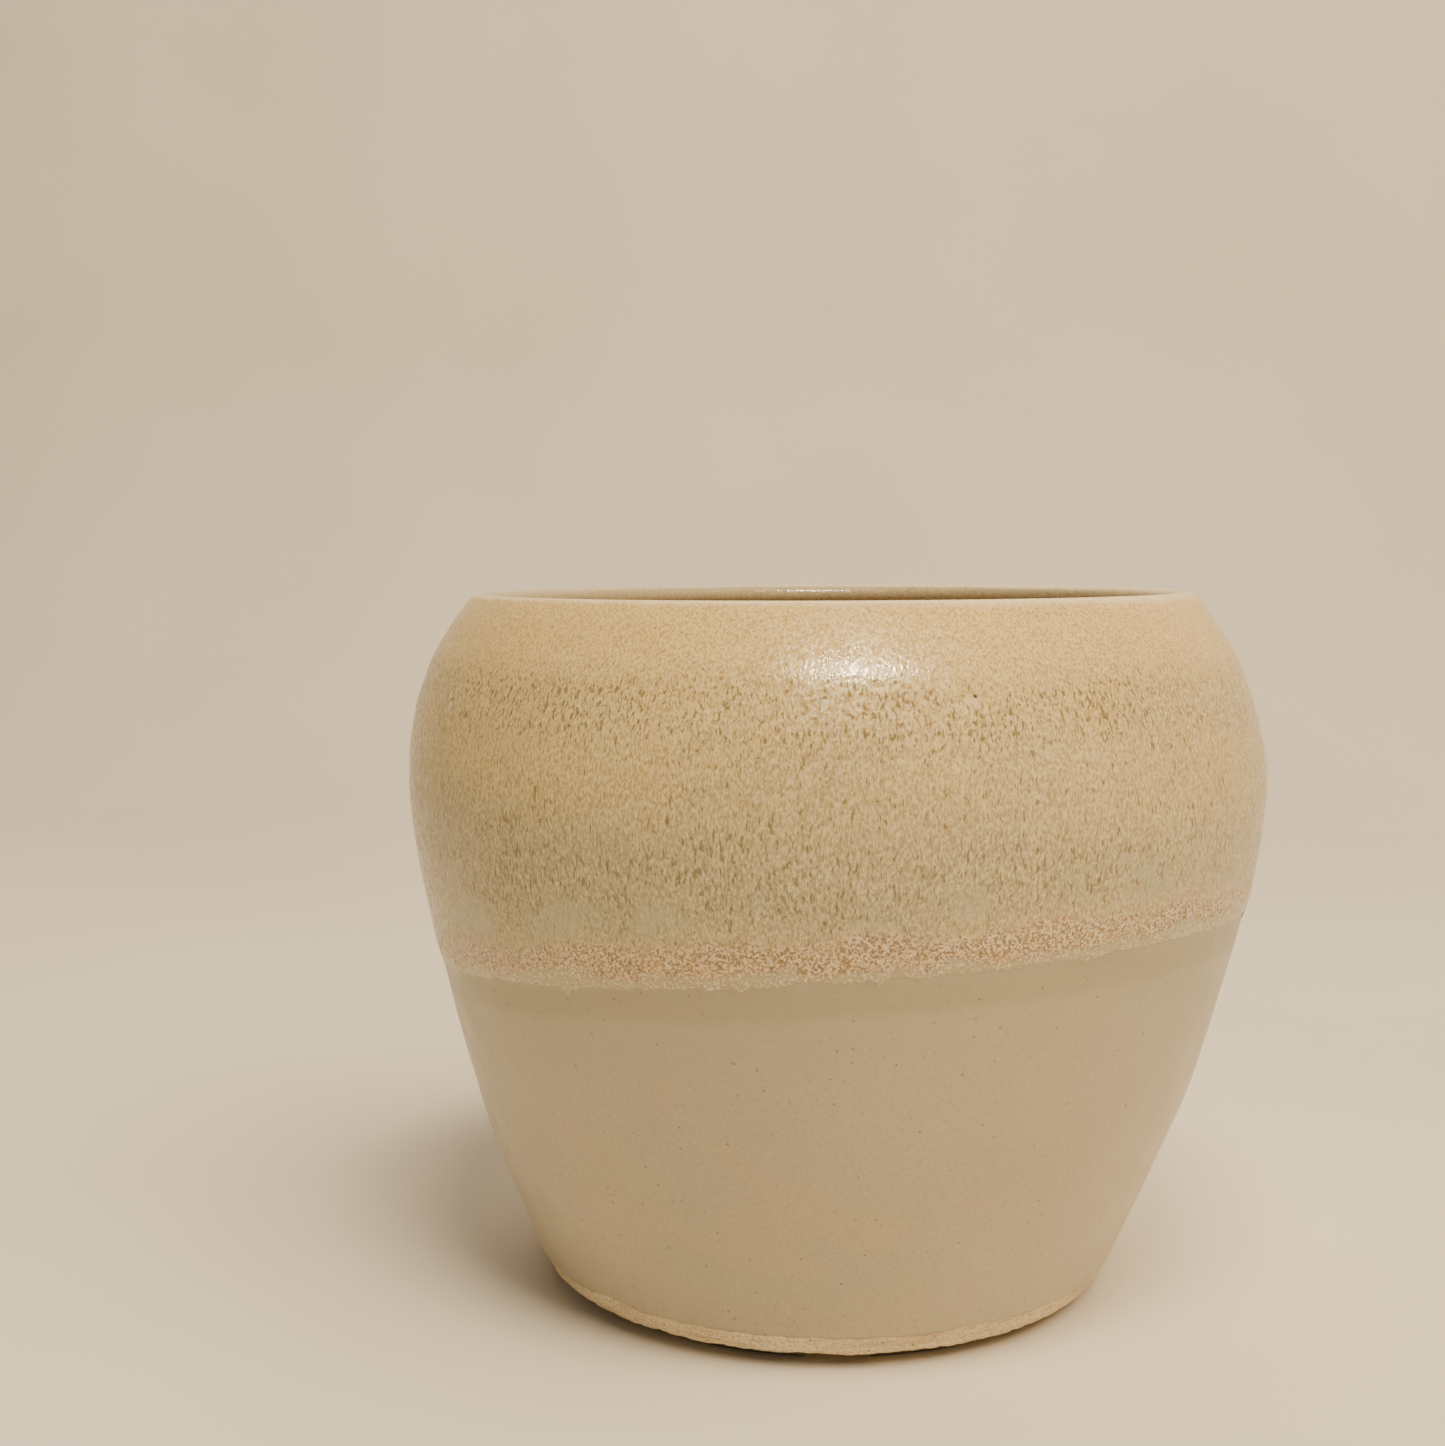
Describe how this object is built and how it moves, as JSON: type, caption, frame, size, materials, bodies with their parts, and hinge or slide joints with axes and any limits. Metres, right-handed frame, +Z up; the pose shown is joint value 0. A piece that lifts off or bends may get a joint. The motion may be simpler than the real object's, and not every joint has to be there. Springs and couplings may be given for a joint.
{
  "type": "bonsai pot",
  "caption": "Round hand-thrown bonsai pot with a full shoulder and a two-coat glaze, prepared for planting with a drain net, its clip and tree tie wires.",
  "frame": {"origin": "the pot's axis at table height, under the middle of the foot ring", "axes": "+Z up along the pot's axis, -Y out of the pot's front, +X to the right seen from the front"},
  "size_m": [0.168, 0.168, 0.1363],
  "materials": {
    "bare_clay": "unglazed buff stoneware, gritty and matte",
    "base_glaze": "smooth satin beige glaze with sparse fine iron specks",
    "over_glaze": "satin cream and tan mottled glaze with fine brown streaks and a pinkish curdled edge",
    "net_plastic": "black extruded polyethylene net",
    "clip_wire": "plain annealed aluminium wire",
    "anchor_wire": "brown-anodised annealed aluminium wire"
  },
  "bodies": {
    "pot": {"clay_body": "bare_clay", "base_glaze": "base_glaze", "over_glaze": "over_glaze", "drain_screen": "net_plastic", "screen_clip": "clip_wire", "anchor_wire_front": "anchor_wire", "anchor_wire_back": "anchor_wire"},
    "left_clip_foot": {"clip_foot_left": "clip_wire"},
    "right_clip_foot": {"clip_foot_right": "clip_wire"},
    "front_left_tail": {"tail_front_left": "anchor_wire"},
    "front_right_tail": {"tail_front_right": "anchor_wire"},
    "back_left_tail": {"tail_back_left": "anchor_wire"},
    "back_right_tail": {"tail_back_right": "anchor_wire"}
  },
  "joints": [
    {"name": "left_clip_foot_bend", "type": "hinge", "parent": "pot", "child": "left_clip_foot", "pos_m": [-0.012, 0, 0.0053], "axis": [0, -1, 0], "range_deg": [0, 90]},
    {"name": "right_clip_foot_bend", "type": "hinge", "parent": "pot", "child": "right_clip_foot", "pos_m": [0.012, 0, 0.0053], "axis": [0, 1, 0], "range_deg": [0, 90]},
    {"name": "front_left_tail_bend", "type": "hinge", "parent": "pot", "child": "front_left_tail", "pos_m": [-0.03, -0.0185, 0.0146], "axis": [0, 1, 0], "range_deg": [0, 79]},
    {"name": "front_right_tail_bend", "type": "hinge", "parent": "pot", "child": "front_right_tail", "pos_m": [0.03, -0.0135, 0.0146], "axis": [0, -1, 0], "range_deg": [0, 79]},
    {"name": "back_left_tail_bend", "type": "hinge", "parent": "pot", "child": "back_left_tail", "pos_m": [-0.03, 0.0135, 0.0146], "axis": [0, 1, 0], "range_deg": [0, 79]},
    {"name": "back_right_tail_bend", "type": "hinge", "parent": "pot", "child": "back_right_tail", "pos_m": [0.03, 0.0185, 0.0146], "axis": [0, -1, 0], "range_deg": [0, 79]}
  ]
}
